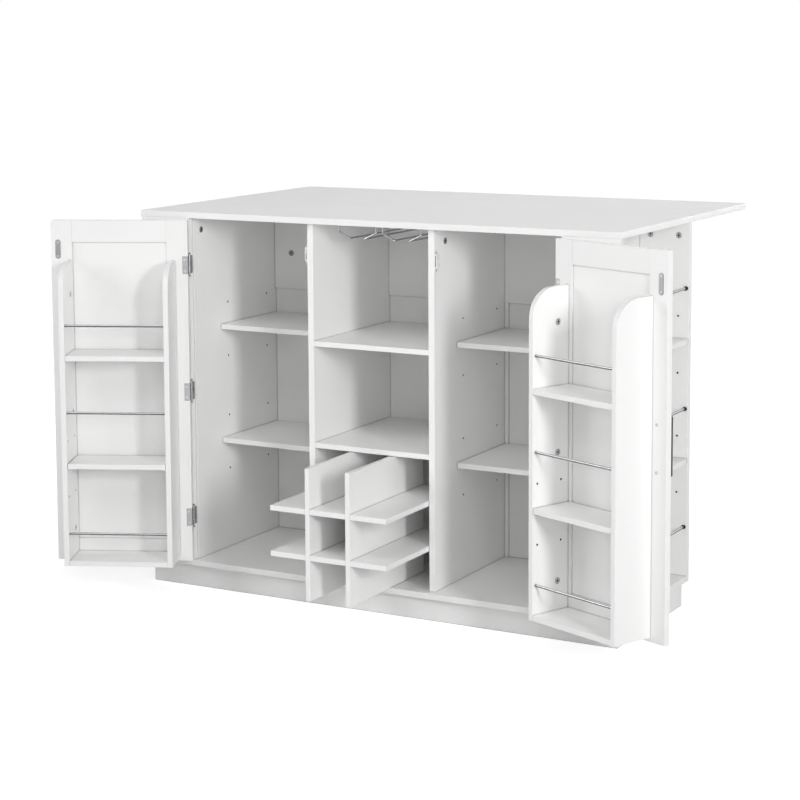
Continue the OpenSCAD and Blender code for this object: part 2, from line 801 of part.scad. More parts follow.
// A plate with round ends and a screw hole at each end
module strike_plate(side) {
  hole_r = 1.8;
  end_z = (catch_h - strike_w) / 2;
  color(steel_colour) door_pose(side) difference() {
    union() {
      box(strike_x - strike_w / 2, strike_x + strike_w / 2, inner_y, inner_y + strike_t,
        catch_z - end_z, catch_z + end_z);
      for (k = [-1, 1])
        y_rod(strike_x, inner_y, catch_z + k * end_z, strike_t, strike_w / 2);
    }
    for (k = [-1, 1])
      y_rod(strike_x, inner_y - cut, catch_z + k * end_z, strike_t + 2 * cut, hole_r,
        $fn = 24);
  }
}

// ---------- glass hangers ----------
// A wire between two points of one XZ plane
module xz_wire(x0, z0, x1, z1) {
  dx = x1 - x0;
  dz = z1 - z0;
  l = sqrt(dx * dx + dz * dz);
  translate([x0, 0, z0]) rotate([0, atan2(dx, dz), 0]) cylinder(r = wire_r, h = l, $fn = 24);
}

// The rounded bend of two wires, a little thicker than the wire
module bend(x, z) {
  translate([x, 0, z]) sphere(r = wire_r + 0.15, $fn = 24);
}

module glass_hanger(side) {
  centre_x = side * hanger_pitch / 2;
  knee_z = under_z - leg_drop;
  wire_z = knee_z - rail_drop;
  foot_t = 1.5;
  foot_r = 6;
  y0 = divider_y + hanger_setback;
  hanger_l = rail_y - hanger_rear_gap - y0;
  color(steel_colour) translate([centre_x, y0, 0]) both_sides() {
    for (y = [0, hanger_l]) translate([0, y, 0]) {
      xz_wire(hanger_w / 2, under_z - foot_t, hanger_w / 2, knee_z);
      xz_wire(hanger_w / 2, knee_z, stem_gap / 2, wire_z);
      bend(hanger_w / 2, knee_z);
      bend(stem_gap / 2, wire_z);
      translate([hanger_w / 2, 0, under_z - foot_t]) cylinder(r = foot_r, h = foot_t);
    }
    y_rod(stem_gap / 2, 0, wire_z, hanger_l, wire_r, $fn = 24);
  }
}

// ---------- bottle rack ----------
shelf_zs = [bottle_z + cell_h, bottle_z + 2 * cell_h + shelf_t];

module bottle_rack_uprights() {
  color(board_colour) translate([0, -pull, 0]) both_sides() difference() {
    box(upright_x, upright_x + upright_t, divider_y, divider_y + bottle_d,
      bottle_z, bottle_z + bottle_h);
    for (z = shelf_zs)
      box(upright_x - cut, upright_x + upright_t + cut, lap_y - lap_gap,
        divider_y + bottle_d + cut, z - lap_gap, z + shelf_t + lap_gap);
  }
}

module bottle_rack_shelves() {
  color(board_colour) translate([0, -pull, 0]) for (z = shelf_zs) difference() {
    box(-bottle_half, bottle_half, divider_y, divider_y + bottle_d, z, z + shelf_t);
    both_sides() box(upright_x - lap_gap, upright_x + upright_t + lap_gap, divider_y - cut,
      lap_y, z - cut, z + shelf_t + cut);
  }
}

// ---------- leaf, its hinges and brackets ----------
leaf_y0 = rear_y + leaf_gap;
leaf_hinge_xs = [-1, 0, 1] * (bay_end - leaf_hinge_inset);
bracket_x = bay_end - bracket_inset;
hinge_plate_t = 1.5;

module leaf_panel() {
  color(board_colour)
    box(-half_w - end_overhang, half_w + end_overhang, leaf_y0, leaf_y0 + leaf_d,
      under_z, height);
}

module leaf_knuckles(first, extra) {
  for (k = [first : 2 : knuckle_n - 1])
    x_rod(-leaf_hinge_l / 2 + k * (leaf_knuckle_l + knuckle_gap) - extra, leaf_axis_y,
      leaf_axis_z, leaf_knuckle_l + 2 * extra, leaf_knuckle_r + extra);
}

// One plate of a leaf hinge, from the axis to y1, with the knuckles first, first + 2, ...
module leaf_hinge_plate(y0, y1, first, bore_r) {
  difference() {
    union() {
      difference() {
        box(-leaf_hinge_l / 2, leaf_hinge_l / 2, y0, y1, under_z - hinge_plate_t, under_z);
        leaf_knuckles(1 - first, knuckle_gap);
      }
      leaf_knuckles(first, 0);
    }
    x_rod(-leaf_hinge_l / 2 - cut, leaf_axis_y, leaf_axis_z, leaf_hinge_l + 2 * cut, bore_r);
  }
}

module top_hinge_plates() {
  color(steel_colour) for (x = leaf_hinge_xs) translate([x, 0, 0])
    leaf_hinge_plate(leaf_axis_y - leaf_hinge_w, leaf_axis_y, 0, hinge_pin_r);
}

module leaf_hinge_plates() {
  color(steel_colour) for (x = leaf_hinge_xs) translate([x, 0, 0])
    leaf_hinge_plate(leaf_axis_y, leaf_axis_y + leaf_hinge_w, 1, hinge_pin_r + pin_fit);
}

module leaf_hinge_pins() {
  end_l = 1;                                 // how far a pin stands out at each end
  color(steel_colour) for (x = leaf_hinge_xs)
    x_rod(x - leaf_hinge_l / 2 - end_l, leaf_axis_y, leaf_axis_z, leaf_hinge_l + 2 * end_l,
      hinge_pin_r);
}

// Wall plate of a bracket: a strip on the upper back rail, two cheeks and the brace's rivet
plate_y = rail_y + board_t;
plate_t = 2.5;
plate_half_w = 14;
plate_foot_gap = 2;                          // from the rail's lower edge
plate_top_gap = 10;                          // from the worktop
plate_z0 = rail_z + plate_foot_gap;
plate_z1 = under_z - plate_top_gap;
hole_inset = 15;
cheek_t = 2;
cheek_half_h = 16;
cheek_x = brace_t / 2 + brace_gap;           // inner face of a cheek

module bracket_plates() {
  color(steel_colour) both_sides() translate([bracket_x, 0, 0]) {
    difference() {
      box(-plate_half_w, plate_half_w, plate_y, plate_y + plate_t, plate_z0, plate_z1);
      for (z = [plate_z0 + hole_inset, plate_z1 - hole_inset])
        y_rod(0, plate_y - cut, z, plate_t + 2 * cut, screw_r, $fn = 24);
    }
    both_sides() {
      box(cheek_x, cheek_x + cheek_t, plate_y, pivot_y + brace_w / 2,
        pivot_z - cheek_half_h, pivot_z + cheek_half_h);
      x_rod(cheek_x + cheek_t, pivot_y, pivot_z, rivet_head_t, rivet_head_r);
    }
    x_rod(-cheek_x - cheek_t, pivot_y, pivot_z, 2 * (cheek_x + cheek_t), rivet_r);
  }
}

// Arm under the leaf: a flange on the leaf and a web beside the brace
arm_hinge_gap = 6;                           // from the hinge plates' line
arm_y0 = leaf_axis_y + leaf_hinge_w + arm_hinge_gap;
arm_tip_l = 40;                              // arm beyond the brace's nose
arm_y1 = nose_y + arm_tip_l;
arm_half_w = 12;

module bracket_arms() {
  color(steel_colour) both_sides() translate([bracket_x, 0, 0]) {
    difference() {
      box(-arm_half_w, cheek_x + arm_t, arm_y0, arm_y1, under_z - arm_t, under_z);
      for (y = [arm_y0 + hole_inset, arm_y1 - hole_inset])
        translate([-arm_half_w / 2, y, under_z - arm_t - cut])
          cylinder(r = screw_r, h = arm_t + 2 * cut, $fn = 24);
    }
    box(cheek_x, cheek_x + arm_t, arm_y0, arm_y1, under_z - arm_down, under_z);
  }
}

// The brace: a flat bar from its pivot up to its nose under the arm
module leaf_braces() {
  color(steel_colour) both_sides() translate([bracket_x, pivot_y, pivot_z])
    rotate([-brace_lean, 0, 0]) difference() {
      union() {
        translate([-brace_t / 2, -brace_w / 2, 0]) cube([brace_t, brace_w, brace_l]);
        x_rod(-brace_t / 2, 0, 0, brace_t, brace_w / 2);
        x_rod(-brace_t / 2, 0, brace_l, brace_t, brace_w / 2);
      }
      x_rod(-brace_t / 2 - cut, 0, 0, brace_t + 2 * cut, rivet_r + pin_fit);
    }
}

top_panel();
bottom_panel();
plinth_long_boards();
plinth_cross_boards();
partition(-1);  // left_partition
partition(1);  // right_partition
divider(-1);  // left_divider
divider(1);  // right_divider
front_panel(-1);  // left_front_panel
front_panel(1);  // right_front_panel
rear_panel(-1);  // left_rear_panel
rear_panel(1);  // right_rear_panel
upper_back_rail();
back_panel();
back_batten();
side_bay_shelves(-1);  // left_bay_shelves
centre_bay_shelves();
side_bay_shelves(1);  // right_bay_shelves
rack_shelves(-1);  // left_rack_shelves
rack_shelves(1);  // right_rack_shelves
rack_rails(-1);  // left_rack_rails
rack_rails(1);  // right_rack_rails
shelf_pins();
cam_locks();
rack_cam_locks();
door_catches();
frame_hinge_leaves();
door_hinge_pins();
glass_hanger(-1);  // left_glass_hanger
glass_hanger(1);  // right_glass_hanger
top_hinge_plates();
leaf_hinge_pins();
bracket_plates();
door_panel(-1);  // left_door_panel
door_stiles(-1);  // left_door_stiles
door_rails(-1);  // left_door_rails
door_rack_sides(-1);  // left_door_rack_sides
door_rack_shelves(-1);  // left_door_rack_shelves
door_rack_rails(-1);  // left_door_rack_rails
door_fittings(-1);  // left_door_fittings
door_handle(-1);  // left_door_handle
strike_plate(-1);  // left_strike_plate
door_hinge_leaves(-1);  // left_door_hinge_leaves
door_panel(1);  // right_door_panel
door_stiles(1);  // right_door_stiles
door_rails(1);  // right_door_rails
door_rack_sides(1);  // right_door_rack_sides
door_rack_shelves(1);  // right_door_rack_shelves
door_rack_rails(1);  // right_door_rack_rails
door_fittings(1);  // right_door_fittings
door_handle(1);  // right_door_handle
strike_plate(1);  // right_strike_plate
door_hinge_leaves(1);  // right_door_hinge_leaves
bottle_rack_uprights();
bottle_rack_shelves();
leaf_panel();
leaf_hinge_plates();
bracket_arms();
leaf_braces();
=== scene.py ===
"""Drop leaf kitchen island: camera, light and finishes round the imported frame."""

import json
import math

import bmesh
import bpy
from mathutils import Matrix, Vector


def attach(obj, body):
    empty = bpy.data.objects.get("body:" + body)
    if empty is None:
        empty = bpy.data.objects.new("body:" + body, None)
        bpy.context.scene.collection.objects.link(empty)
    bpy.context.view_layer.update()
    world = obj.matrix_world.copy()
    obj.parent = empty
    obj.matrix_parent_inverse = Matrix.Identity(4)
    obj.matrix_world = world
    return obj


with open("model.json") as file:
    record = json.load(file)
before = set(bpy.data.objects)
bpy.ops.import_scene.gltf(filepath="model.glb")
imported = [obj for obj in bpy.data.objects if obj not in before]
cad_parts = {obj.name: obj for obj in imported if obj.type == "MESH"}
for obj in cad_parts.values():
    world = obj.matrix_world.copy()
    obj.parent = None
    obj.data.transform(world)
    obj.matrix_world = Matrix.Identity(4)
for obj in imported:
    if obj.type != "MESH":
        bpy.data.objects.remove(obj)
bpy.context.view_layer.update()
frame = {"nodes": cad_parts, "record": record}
NODES = frame["nodes"]
scene = bpy.context.scene

# ---- Camera -----------------------------------------------------------------
IMAGE_PX = 800
FOCAL_PX = 2104.0
SENSOR = 36.0
CAMERA_AT = Vector((2.356, -4.363, 1.376))
YAW, PITCH, ROLL = (math.radians(a) for a in (29.246, -6.652, -0.384))
SHIFT = (0.0263, -0.17)


def make_camera():
    right = Vector((math.cos(YAW), math.sin(YAW), 0.0))
    ahead = Vector((-math.sin(YAW) * math.cos(PITCH), math.cos(YAW) * math.cos(PITCH),
                    math.sin(PITCH)))
    up = right.cross(ahead)
    rolled = right * math.cos(ROLL) + up * math.sin(ROLL)
    rolled_up = up * math.cos(ROLL) - right * math.sin(ROLL)
    data = bpy.data.cameras.new("camera")
    data.sensor_width = SENSOR
    data.lens = FOCAL_PX / IMAGE_PX * SENSOR
    data.shift_x, data.shift_y = SHIFT
    data.clip_start, data.clip_end = 0.1, 60.0
    camera = bpy.data.objects.new("camera", data)
    turn = Matrix((rolled, rolled_up, -ahead)).transposed()
    camera.matrix_world = Matrix.Translation(CAMERA_AT) @ turn.to_4x4()
    scene.collection.objects.link(camera)
    scene.camera = camera


make_camera()


# ---- Node helpers -----------------------------------------------------------
class Shader:
    """A small wrapper that adds and links the nodes of one material."""

    def __init__(self, name):
        self.mat = bpy.data.materials.new(name)
        self.mat.use_nodes = True
        self.tree = self.mat.node_tree
        self.tree.nodes.clear()
        self.out = self.add("ShaderNodeOutputMaterial")

    def add(self, kind, **settings):
        node = self.tree.nodes.new(kind)
        for key, value in settings.items():
            setattr(node, key, value)
        return node

    def link(self, source, target):
        self.tree.links.new(source, target)

    def coords(self):
        return self.add("ShaderNodeTexCoord").outputs["Object"]

    def noise(self, where, scale, detail=2.0, roughness=0.5, stretch=None):
        if stretch:
            mapping = self.add("ShaderNodeMapping")
            mapping.inputs["Scale"].default_value = stretch
            self.link(where, mapping.inputs["Vector"])
            where = mapping.outputs["Vector"]
        node = self.add("ShaderNodeTexNoise")
        self.link(where, node.inputs["Vector"])
        node.inputs["Scale"].default_value = scale
        node.inputs["Detail"].default_value = detail
        node.inputs["Roughness"].default_value = roughness
        return node.outputs["Fac"]

    def span(self, value, low, high, from_low=0.3, from_high=0.7):
        node = self.add("ShaderNodeMapRange")
        self.link(value, node.inputs["Value"])
        for key, number in (("From Min", from_low), ("From Max", from_high),
                            ("To Min", low), ("To Max", high)):
            node.inputs[key].default_value = number
        return node.outputs["Result"]

    def blend(self, factor, first, second):
        node = self.add("ShaderNodeMix", data_type="RGBA")
        self.link(factor, node.inputs["Factor"])
        for key, colour in (("A", first), ("B", second)):
            socket = [s for s in node.inputs if s.name == key and s.type == "RGBA"][0]
            if isinstance(colour, tuple):
                socket.default_value = (*colour, 1.0)
            else:
                self.link(colour, socket)
        return [s for s in node.outputs if s.type == "RGBA"][0]

    def bump(self, height, strength, distance, normal=None):
        node = self.add("ShaderNodeBump")
        node.inputs["Strength"].default_value = strength
        node.inputs["Distance"].default_value = distance
        self.link(height, node.inputs["Height"])
        if normal is not None:
            self.link(normal, node.inputs["Normal"])
        return node.outputs["Normal"]

    def principled(self, **values):
        node = self.add("ShaderNodeBsdfPrincipled")
        for key, value in values.items():
            socket = node.inputs[key.replace("_", " ")]
            if isinstance(value, (int, float)):
                socket.default_value = value
            elif isinstance(value, tuple):
                socket.default_value = (*value, 1.0)
            else:
                self.link(value, socket)
        self.link(node.outputs["BSDF"], self.out.inputs["Surface"])
        return node


# Painted shade: closed corners and seams are darkened by how much of the space round a point is open
PAINTED_SHADE_SAMPLES = 8
PAINTED_SHADE_REACH = 0.005
PAINTED_SHADE_SPAN = (0.42, 0.88)


def laminate(name, pale, dull, rough, painted_shade_level):
    """White satin laminate: faintly cloudy, with a pressed grain, and painted shade in closed
    corners and seams; painted_shade_level is how bright that painted shade stays.
    """
    s = Shader(name)
    at = s.coords()
    cloud = s.noise(at, 5.0, 3.0)
    colour = s.blend(s.span(cloud, 0.0, 1.0), dull, pale)
    # Painted shade: the colour darkens where little space round a point is open, in corners and
    # seams
    closed = s.add("ShaderNodeAmbientOcclusion", samples=PAINTED_SHADE_SAMPLES)
    closed.inputs["Distance"].default_value = PAINTED_SHADE_REACH
    open_part = s.span(closed.outputs["AO"], 0.0, 1.0, *PAINTED_SHADE_SPAN)
    colour = s.blend(open_part, tuple(painted_shade_level * c for c in dull), colour)
    grain = s.noise(at, 900.0, 2.0)
    peel = s.noise(at, 160.0, 1.0)
    normal = s.bump(peel, 0.25, 0.0001)
    normal = s.bump(grain, 0.35, 0.00003, normal)
    sheen = s.span(s.noise(at, 22.0, 3.0), rough - 0.04, rough + 0.05)
    s.principled(Base_Color=colour, Roughness=sheen, Normal=normal, IOR=1.48)
    return s.mat


def metal(name, tone, rough, streak, painted_underside=None, turn=None):
    """Plated metal: fine polishing marks and an uneven sheen.

    With painted_underside, it goes over to that tone from facing up to facing down, within the span
    turn: a painted reflection, darker where the metal faces down.
    """
    s = Shader(name)
    at = s.coords()
    marks = s.noise(at, 1400.0, 2.0, stretch=streak)
    haze = s.noise(at, 60.0, 3.0)
    low = tuple(c * 0.9 for c in tone)
    colour = s.blend(s.span(haze, 0.0, 1.0), low, tone)
    if painted_underside:
        # Painted reflection: the colour darkens as the surface turns to face down
        facing = s.add("ShaderNodeSeparateXYZ")
        s.link(s.add("ShaderNodeNewGeometry").outputs["Normal"], facing.inputs[0])
        upward = s.span(facing.outputs["Z"], 0.0, 1.0, *turn)
        colour = s.blend(upward, painted_underside, colour)
    s.principled(Base_Color=colour, Metallic=1.0,
                 Roughness=s.span(haze, rough * 0.8, rough * 1.25),
                 Normal=s.bump(marks, 0.15, 0.00002))
    return s.mat


def lacquer(name, tone, rough):
    """Satin powder coat: a fine, even pebble."""
    s = Shader(name)
    at = s.coords()
    pebble = s.noise(at, 1100.0, 2.0)
    colour = s.blend(s.span(s.noise(at, 90.0), 0.0, 1.0), tone, tuple(c * 1.25 for c in tone))
    s.principled(Base_Color=colour, Roughness=s.span(pebble, rough - 0.05, rough + 0.05),
                 Normal=s.bump(pebble, 0.3, 0.00003))
    return s.mat


BOARD = laminate("white_laminate", (0.91, 0.91, 0.905), (0.895, 0.895, 0.89), 0.40, 0.6)
TOP = laminate("worktop_laminate", (0.88, 0.88, 0.875), (0.865, 0.865, 0.86), 0.34, 0.95)
EVEN = (1.0, 1.0, 1.0)
BRUSHED = (1.0, 1.0, 0.1)
CHROME = metal("chrome_plate", (0.45, 0.46, 0.47), 0.12, EVEN)
# The rails carry a painted reflection: their undersides are painted dark
RAIL = metal("rail_chrome", (0.42, 0.43, 0.44), 0.14, EVEN, (0.035, 0.035, 0.038), (0.35, 0.98))
DOOR_RAIL = metal("door_rail_chrome", (0.52, 0.53, 0.54), 0.16, EVEN,
                  (0.09, 0.09, 0.095), (-0.25, 0.6))
STEEL = metal("nickel_plate", (0.42, 0.42, 0.43), 0.30, BRUSHED)
ZINC = metal("pale_zinc", (0.66, 0.66, 0.66), 0.36, EVEN)
PLATE = metal("strike_nickel", (0.30, 0.30, 0.31), 0.34, BRUSHED)
# Dark steel for the hinge washers and the catch magnets, and the painted shade in sockets and cam
# grooves
DARK_STEEL_AND_SHADE = metal("dark_steel_and_recess_shade", (0.07, 0.07, 0.072), 0.45, EVEN)
BLACK = lacquer("black_lacquer", (0.012, 0.012, 0.012), 0.35)
# Near-black hole lining: the raw board core of a hole, darkened further as painted shade
HOLE_SHADE = lacquer("hole_core_and_shade", (0.018, 0.017, 0.016), 0.80)
PLASTIC = lacquer("white_plastic", (0.72, 0.72, 0.71), 0.45)
FINISHES = {"white_board": BOARD, "worktop": TOP, "chrome": CHROME, "steel": STEEL,
            "black_metal": BLACK, "white_plastic": PLASTIC}
NODE_FINISHES = {"left_rack_rails": RAIL, "right_rack_rails": RAIL,
                 "left_door_rack_rails": DOOR_RAIL, "right_door_rack_rails": DOOR_RAIL,
                 "left_door_fittings": ZINC, "right_door_fittings": ZINC,
                 "rack_cam_locks": ZINC, "left_strike_plate": PLATE, "right_strike_plate": PLATE}

# ---- CAD pieces -------------------------------------------------------------
EDGE_BREAK = 0.0005
SEAM_BREAK = 0.0008
TOP_BREAK = 0.001
MERGE = 0.00001
FLAT_ANGLE, SHARP_ANGLE = math.radians(0.5), math.radians(40)


def soften(obj, width):
    """A small break on every sharp edge, so that it catches the light."""
    weld = obj.modifiers.new("weld", "WELD")
    weld.merge_threshold = MERGE
    flat = obj.modifiers.new("flat_faces", "DECIMATE")
    flat.decimate_type = "DISSOLVE"
    flat.angle_limit = FLAT_ANGLE
    bevel = obj.modifiers.new("edge_break", "BEVEL")
    bevel.width = width
    bevel.segments = 2
    bevel.limit_method = "ANGLE"
    bevel.angle_limit = SHARP_ANGLE
    normals = obj.modifiers.new("normals", "WEIGHTED_NORMAL")
    normals.mode = "FACE_AREA"


def break_of(node, finish):
    """Width of the break on a board's edges."""
    if finish is TOP:
        return TOP_BREAK
    if node.endswith(("_door_stiles", "_door_rails")):
        return SEAM_BREAK
    return EDGE_BREAK


for part in frame["record"]["subparts"]:
    piece = NODES[part["node"]]
    finish = NODE_FINISHES.get(part["node"], FINISHES[part["material_slot"]])
    piece.data.materials.clear()
    piece.data.materials.append(finish)
    if finish in (BOARD, TOP):
        soften(piece, break_of(part["node"], finish))

# ---- Small fittings ---------------------------------------------------------
# All lengths in this part are millimetres, as in the CAD.
MM = 0.001
AXIS = Vector((485.55, -216.5, 0.0))
OPEN_ANGLES = {-1: 155.5, 1: 158.0}
SIDES = {-1: "left", 1: "right"}
STEPS = 24
SPLIT_ANGLE = math.radians(35)

# Faces that carry fittings, on the right half
PARTITION_X = 484.0
DIVIDER_X = 166.5
PANEL_Y = 200.0
BACK_RAIL_Y = 164.0
CATCH_X = 170.0
# Inner face of the closed right door, and inner faces of its rack's two sides
DOOR_Y = -200.0
DOOR_RACK_X = (204.8, 441.7)


def aimed(at, along):
    """Places a form whose own +Z is along a direction, at a point."""
    turn = Vector(along).to_track_quat("Z", "Y").to_matrix().to_4x4()
    return Matrix.Translation(Vector(at)) @ turn


def mirrored(side):
    """From the right half to the half that side names: 1 right, -1 left."""
    return Matrix.Diagonal((side, 1.0, 1.0, 1.0))


def door_place(side):
    """From the closed right door to the drawn pose of a door."""
    turn = Matrix.Rotation(math.radians(OPEN_ANGLES[side]), 4, "Z")
    return mirrored(side) @ Matrix.Translation(AXIS) @ turn @ Matrix.Translation(-AXIS)


def turned_wall(bm, place, profile, material=0):
    """The open wall of a turned form, from (radius, height) pairs; returns its rings."""
    rings = []
    for radius, height in profile:
        rings.append([bm.verts.new(place @ Vector((
            radius * math.cos(2 * math.pi * k / STEPS),
            radius * math.sin(2 * math.pi * k / STEPS), height))) for k in range(STEPS)])
    for lower, upper in zip(rings, rings[1:]):
        for k in range(STEPS):
            j = (k + 1) % STEPS
            bm.faces.new((lower[k], lower[j], upper[j], upper[k])).material_index = material
    return rings


def turned(bm, place, profile, material=0):
    """A turned form, closed at both ends."""
    rings = turned_wall(bm, place, profile, material)
    for ring in (rings[0], rings[-1]):
        bm.faces.new(ring).material_index = material


def socketed(bm, place, rim, socket, depth):
    """A turned head with a socket: rim is its profile from below up, socket the recess's outline."""
    rings = turned_wall(bm, place, rim)
    bm.faces.new(rings[0])
    top = rim[-1][1]
    mouth = [bm.verts.new(place @ Vector((x, y, top))) for x, y in socket]
    floor_ring = [bm.verts.new(place @ Vector((x, y, top - depth))) for x, y in socket]
    edges = []
    for loop in (rings[-1], mouth):
        for k, vert in enumerate(loop):
            after = loop[(k + 1) % len(loop)]
            edges.append(bm.edges.get((vert, after)) or bm.edges.new((vert, after)))
    bmesh.ops.triangle_fill(bm, use_beauty=True, use_dissolve=False, edges=edges)
    # The socket's walls and floor take the second material: painted shade in the recess
    for k in range(len(mouth)):
        j = (k + 1) % len(mouth)
        face = bm.faces.new((mouth[k], mouth[j], floor_ring[j], floor_ring[k]))
        face.material_index = 1
    bm.faces.new(floor_ring).material_index = 1


def cross(length, width):
    """Outline of a cross socket."""
    a, b = length / 2, width / 2
    return [(a, -b), (a, b), (b, b), (b, a), (-b, a), (-b, b),
            (-a, b), (-a, -b), (-b, -b), (-b, -a), (b, -a), (b, -b)]


def fitting(name, body, materials, draw, break_width=0.0):
    """One piece of small forms that ride on a body."""
    bm = bmesh.new()
    draw(bm)
    bmesh.ops.recalc_face_normals(bm, faces=bm.faces)
    bm.transform(Matrix.Scale(MM, 4))
    mesh = bpy.data.meshes.new(name)
    bm.to_mesh(mesh)
    bm.free()
    for material in materials:
        mesh.materials.append(material)
    mesh.shade_smooth()
    piece = bpy.data.objects.new(name, mesh)
    scene.collection.objects.link(piece)
    if break_width:
        bevel = piece.modifiers.new("edge_break", "BEVEL")
        bevel.width = break_width * MM
        bevel.limit_method = "ANGLE"
    split = piece.modifiers.new("sharp", "EDGE_SPLIT")
    split.split_angle = SPLIT_ANGLE
    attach(piece, body)
    return piece


# Spare holes: a near-black cup just inside each mouth, the raw board core of the hole darkened
# further as painted shade
PIN_LEVELS = (335.5, 618.5)
HOLE_PITCH = 67.0
BAY_PIN_YS = (-55.5, 123.0)
RACK_PIN_XS = (526.0, 596.5)
DOOR_PIN_Z = 315.5
DOOR_PIN_YS = (-178.0, -108.0)
HOLE_SHADE_CUP = [(2.42, -8.8), (2.42, -0.4), (2.8, -0.1), (2.2, -0.1), (2.1, -7.5), (0.3, -7.9)]


def spare(levels):
    """The empty holes next above and below each level in use."""
    return [z + k * HOLE_PITCH for z in levels for k in (-1, 1)]


def cabinet_hole_shade(bm):
    for side in SIDES:
        flip = mirrored(side)
        for z in spare(PIN_LEVELS):
            for y in BAY_PIN_YS:
                turned(bm, flip @ aimed((PARTITION_X, y, z), (-1, 0, 0)), HOLE_SHADE_CUP)
                turned(bm, flip @ aimed((DIVIDER_X, y, z), (1, 0, 0)), HOLE_SHADE_CUP)
            for x in RACK_PIN_XS:
                turned(bm, flip @ aimed((x, -PANEL_Y, z), (0, 1, 0)), HOLE_SHADE_CUP)
                turned(bm, flip @ aimed((x, PANEL_Y, z), (0, -1, 0)), HOLE_SHADE_CUP)


fitting("hole_shade_cups", "cabinet", [HOLE_SHADE], cabinet_hole_shade)

# Cam locks: a pressed face with a rim, a groove and a cross socket; the groove and the socket are
# painted dark as shade
CAM_RIM = [(6.0, -0.5), (7.2, -0.3), (7.2, 0.75), (6.5, 0.9), (6.0, 0.5), (5.4, 0.5), (5.0, 0.8)]
CAM_SOCKET = cross(7.0, 2.2)
CAM_SOCKET_DEPTH = 1.0
CAM_RISE = 0.05
# A dark ring of painted shade that fills the groove
CAM_GROOVE_SHADE = [(5.2, -0.2), (6.6, -0.2), (6.6, 0.22), (5.2, 0.22)]
CAM_GROOVE_SHADE_RISE = 0.4
CAM_Z = 874.0
PARTITION_CAM_YS = (-167.5, 133.0)
DIVIDER_CAM_YS = (-144.5, 110.0)
RAIL_CAM = (434.0, BACK_RAIL_Y, 786.0)
DOOR_CAM_Y = -168.0
DOOR_CAM_ZS = (159.0, 443.5, 728.0)


def cam_face(bm, place):
    """One cam lock's face: the bright pressing, and a dark ring of painted shade in its groove."""
    face = place @ Matrix.Translation((0, 0, CAM_RISE))
    socketed(bm, face, CAM_RIM, CAM_SOCKET, CAM_SOCKET_DEPTH)
    turned(bm, place @ Matrix.Translation((0, 0, CAM_GROOVE_SHADE_RISE)), CAM_GROOVE_SHADE, 1)


def cabinet_cams(bm):
    for side in SIDES:
        flip = mirrored(side)
        for y in PARTITION_CAM_YS:
            cam_face(bm, flip @ aimed((PARTITION_X, y, CAM_Z), (-1, 0, 0)))
        for y in DIVIDER_CAM_YS:
            cam_face(bm, flip @ aimed((DIVIDER_X, y, CAM_Z), (1, 0, 0)))
        cam_face(bm, flip @ aimed(RAIL_CAM, (0, -1, 0)))


def rack_cams(bm):
    for side in SIDES:
        for x in RACK_PIN_XS:
            cam_face(bm, mirrored(side) @ aimed((x, PANEL_Y, CAM_Z), (0, -1, 0)))


fitting("cam_faces", "cabinet", [STEEL, DARK_STEEL_AND_SHADE], cabinet_cams)
fitting("rack_cam_faces", "cabinet", [ZINC, DARK_STEEL_AND_SHADE], rack_cams)

# Screws: a countersunk head with a cross socket, just proud of its plate; the socket is painted dark
# as shade
SMALL_HEAD, DOOR_HEAD, LEAF_HEAD, BRACKET_HEAD = 2.6, 3.0, 3.4, 4.0
SOCKET_DEPTH = 0.35
PHILLIPS = cross(SMALL_HEAD, 0.8)
HINGE_ZS = (180.0, 487.0, 794.0)
HINGE_SCREW_RISE = 13.0
HINGE_SCREW_X, HINGE_SCREW_Y = 487.4, -207.5
DOOR_HINGE_SCREW_X = 476.0
CATCH_Z = 832.0
# x and y of a pair of screws, and how far each is above or below the middle of its piece
CATCH_SCREW = (168.1, -191.5, 19.5)
STRIKE_SCREW = (CATCH_X, -199.05, 17.0)
HANDLE_SCREW = (179.8, -198.9, 50.8)
HANDLE_Z = 487.0
BRACKET_X, BRACKET_Y, BRACKET_ZS = 300.0, 181.5, (712.0, 880.0)
ARM_X, ARM_YS, ARM_Z = 294.0, (261.0, 386.0), 902.5
LEAF_HINGE_XS, LEAF_HINGE_Z = (-430.0, 0.0, 430.0), 903.5
LEAF_SCREW_STEP = 24.0
TOP_SCREW_Y, LEAF_SCREW_Y = 201.0, 231.0


def screw(bm, place, radius):
    """One screw head; its form and cross grow with the radius, its heights stay."""
    rim = [(radius * 0.7, -0.6), (radius, 0.0), (radius * 0.96, 0.15), (radius * 0.72, 0.3)]
    size = radius / SMALL_HEAD
    socketed(bm, place, rim, [(x * size, y * size) for x, y in PHILLIPS], SOCKET_DEPTH)


def leaf_hinge_screws(bm, y):
    for x in LEAF_HINGE_XS:
        for k in (-1, 0, 1):
            screw(bm, aimed((x + k * LEAF_SCREW_STEP, y, LEAF_HINGE_Z), (0, 0, -1)), LEAF_HEAD)


def cabinet_screws(bm):
    for side in SIDES:
        flip = mirrored(side)
        for z in HINGE_ZS:
            for k in (-1, 1):
                at = (HINGE_SCREW_X, HINGE_SCREW_Y, z + k * HINGE_SCREW_RISE)
                screw(bm, flip @ aimed(at, (-1, 0, 0)), SMALL_HEAD)
        x, y, rise = CATCH_SCREW
        for k in (-1, 1):
            screw(bm, flip @ aimed((x, y, CATCH_Z + k * rise), (1, 0, 0)), SMALL_HEAD)
        for z in BRACKET_ZS:
            screw(bm, flip @ aimed((BRACKET_X, BRACKET_Y, z), (0, 1, 0)), BRACKET_HEAD)
    leaf_hinge_screws(bm, TOP_SCREW_Y)


